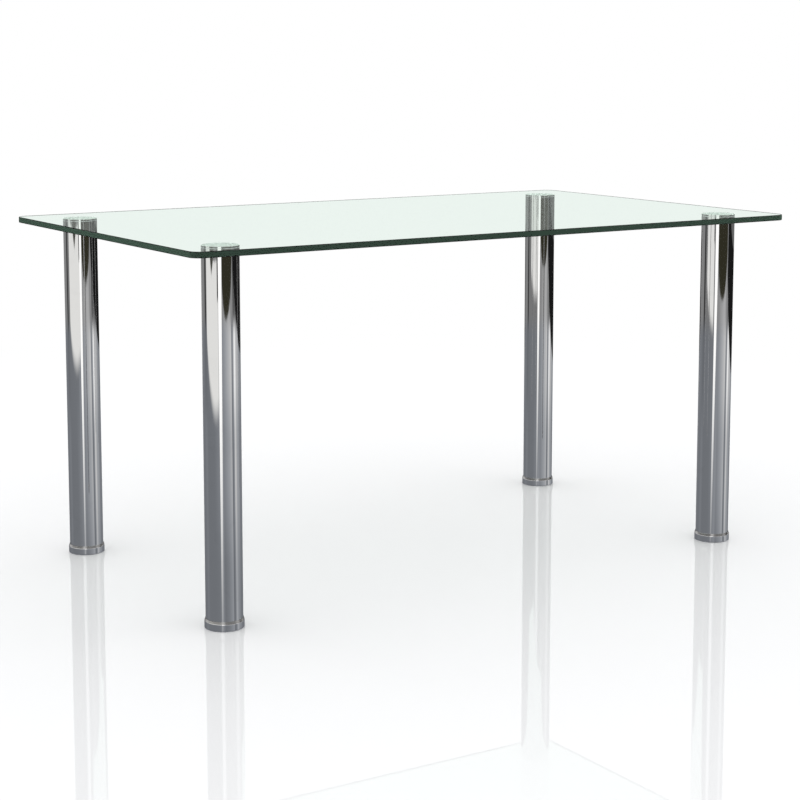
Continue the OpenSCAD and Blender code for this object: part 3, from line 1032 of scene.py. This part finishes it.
turnedPieces = {
    "bond_film": {
        "piece": "bondedFilm", "slot": "adhesive", "segments": 96,
        "corners": [(0, 0), (36.9, 0), (37, 0.09, {"round": 0.04}), (36.9, 0.18), (0, 0.18)],
    },
    "bonding_plate": {
        "piece": "bondedPlate", "slot": "stainless", "segments": 128,
        "corners": [
            (0, 16), (tubeRadius, 16, {"round": 0.3}),
            (tubeRadius, 12, {"round": 0.3, "polished": 1}),
            (12, 12, {"round": 0.8}), (12, 0, {"round": 0.6}), (boreMouth, 0),
            (boreIn, mouth, {"thread": -1, "steps": 8}), (boreIn, 11.5, threadIn), (0, 11.5),
        ],
    },
    "joining_stud": {
        "piece": "legStud", "slot": "zinc_steel", "segments": 72,
        "corners": [
            (0, 5.6), (socketCorner, 5, socketWall), (socketCorner, 0, socketWall), (3.6, 0),
            (4.2, 0), (5, 0.8, threadEnd), (5, 19.2, threadOut), (4.2, 20, threadEnd), (0, 20),
        ],
    },
    "end_plate": {
        "piece": "legEndPlate", "slot": "raw_steel", "segments": 288, "ring": True,
        "corners": [
            (boreMouth, 2), (33.8, 2), (34.5, 1.35, {"welded": 1}), (35.2, 0.65, {"welded": 1}),
            (tubeBore, 0), (tubeBore, 7), (boreMouth, 7), (boreIn, 7 - mouth, threadIn),
            (boreIn, 2 + mouth, threadIn),
        ],
    },
    "leg_tube": {
        "piece": "chromeLeg", "slot": "chrome", "segments": 144, "ring": True,
        "corners": [
            (tubeBore, 0, {"round": 0.2, "bare": 1}), (tubeRadius, 0, {"round": 0.3}),
            (tubeRadius, 737.8, {"round": 0.3}), (tubeBore, 737.8, {"round": 0.2}),
        ],
    },
    "foot_plug": {
        "piece": "tubePlug", "slot": "nylon", "segments": 240, "ring": True,
        "corners": [
            (boreMouth, 14), (boreMouth, 19), (13.5, 19, {"round": 0.5}), (13.5, 5, {"round": 1}),
            (33.1, 5, {"round": 1}), (33.1, 27, {"round": 0.4}), (34.6, 27), (35.6, 26),
            (35.6, 25), (35.6, 24.4, {"ribbed": 1}), (35.6, 3.4, {"ribbed": 1}), (35.6, 3),
            (35.6, 2), (37.3, 2, {"round": 0.3}), (37.3, 0, {"round": 0.3}),
            (10.5, 0, {"round": 0.3}), (10.5, 6), (nutCorner, 6, nutFlat), (nutCorner, 14, nutFlat),
        ],
    },
    "plug_nut": {
        "piece": "plugHexNut", "slot": "zinc_steel", "segments": 96, "ring": True,
        "corners": nutCorners(8),
    },
    "foot_cup": {
        "piece": "chromeCup", "slot": "chrome", "segments": 144, "ring": True, "body": "foot_",
        "corners": [
            (5, 4.1, {"bare": 1}), (35.3, 4.1, {"bare": 1}), (35.3, 0, {"round": 0.2}),
            (40, 0, {"round": 0.4}), (40, 13.5, {"round": 4}),
            # the outer shoulder is marked partly bare: the darker, rougher steel there is painted shade
            # that dims its highlight
            (38.3, 19, {"round": 0.18, "bare": 0.6}), (37.8, 19, {"round": 0.15}),
            (37.8, 7, {"bare": 1}), (5, 7, {"bare": 1}),
        ],
    },
    "levelling_screw": {
        "piece": "levelScrew", "slot": "zinc_steel", "segments": 72, "body": "foot_",
        "corners": [
            (0, 2.1), (socketCorner, 1.8, socketWall), (socketCorner, 0, socketWall), (3.6, 0),
            (10, 0, {"round": 0.6}), (10, 2.3, {"round": 0.2}), (5, 2.3),
            (5, 37.3, threadOut), (4, 38.3, threadEnd), (0, 38.3),
        ],
    },
    "jam_nut": {
        "piece": "lockNut", "slot": "zinc_steel", "segments": 96, "ring": True, "body": "foot_",
        "corners": nutCorners(5),
    },
    "foot_glide": {
        "piece": "floorGlide", "slot": "nylon", "segments": 128, "ring": True, "body": "glide_",
        "corners": [
            (10.5, 0, {"round": 0.2}), (16, 0, {"round": 0.25}), (16, 1), (20, 1),
            (20, 0, {"round": 0.25}), (33.5, 0, {"round": 0.6}), (35, 1.5, {"round": 0.6}),
            (35, 5, {"round": 0.3}), (5.3, 5, {"round": 0.2}), (5.3, 3), (10.5, 3),
        ],
    },
}
ribShape = {"Ribs": 12, "Rib Height": 0.4 * mm, "Rib Width": 1.3 * mm}
weldShape = {"Ripples": 96, "Ripple Height": 0.16 * mm}
webShape = {
    "Webs": 6, "Thickness": 2 * mm, "From": 12.5 * mm, "To": 34.3 * mm,
    "Low": 3.0 * mm, "High": 16 * mm,
}


def makeTurned(node, shape, leg):
    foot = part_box(f"{node}_{leg}")[0].z
    centre = sum(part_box("leg_tube_" + leg), Vector()) / 2
    centre.z = 0
    outline = cutOutline(shape["corners"], foot, shape.get("ring", False))
    piece = newPiece(f"{shape['piece']}_{leg}", outline)
    values = {
        "Segments": shape["segments"], "Centre": centre, "Sharp Angle": sharpAngle,
        "Material": looks[shape["slot"]], **threadForm, **ribShape, **weldShape,
    }
    addNodes(piece, trees["turned"], values)
    if node == "foot_plug":
        values.update(webShape, Low=webShape["Low"] + foot, High=webShape["High"] + foot)
        addNodes(piece, trees["webs"], values)
    settle(piece)
    body = shape["body"] + leg if "body" in shape else "table"
    standIn(piece, f"{node}_{leg}", shape["slot"], body)


# enough for light to find its way through the pane and out of its edge
lightPaths = {"max_bounces": 32, "glossy_bounces": 12, "transmission_bounces": 24}


def setUpStudio():
    makeCamera()
    makeStudioLight()
    makeScreens()
    makeFloor()
    bpy.context.scene.view_settings.view_transform = "Standard"
    for name, bounces in lightPaths.items():
        setattr(bpy.context.scene.cycles, name, bounces)


setUpStudio()
makePane()
for node, shape in turnedPieces.items():
    for leg in legNames:
        makeTurned(node, shape, leg)
    print(shape["piece"], "made for", len(legNames), "legs")
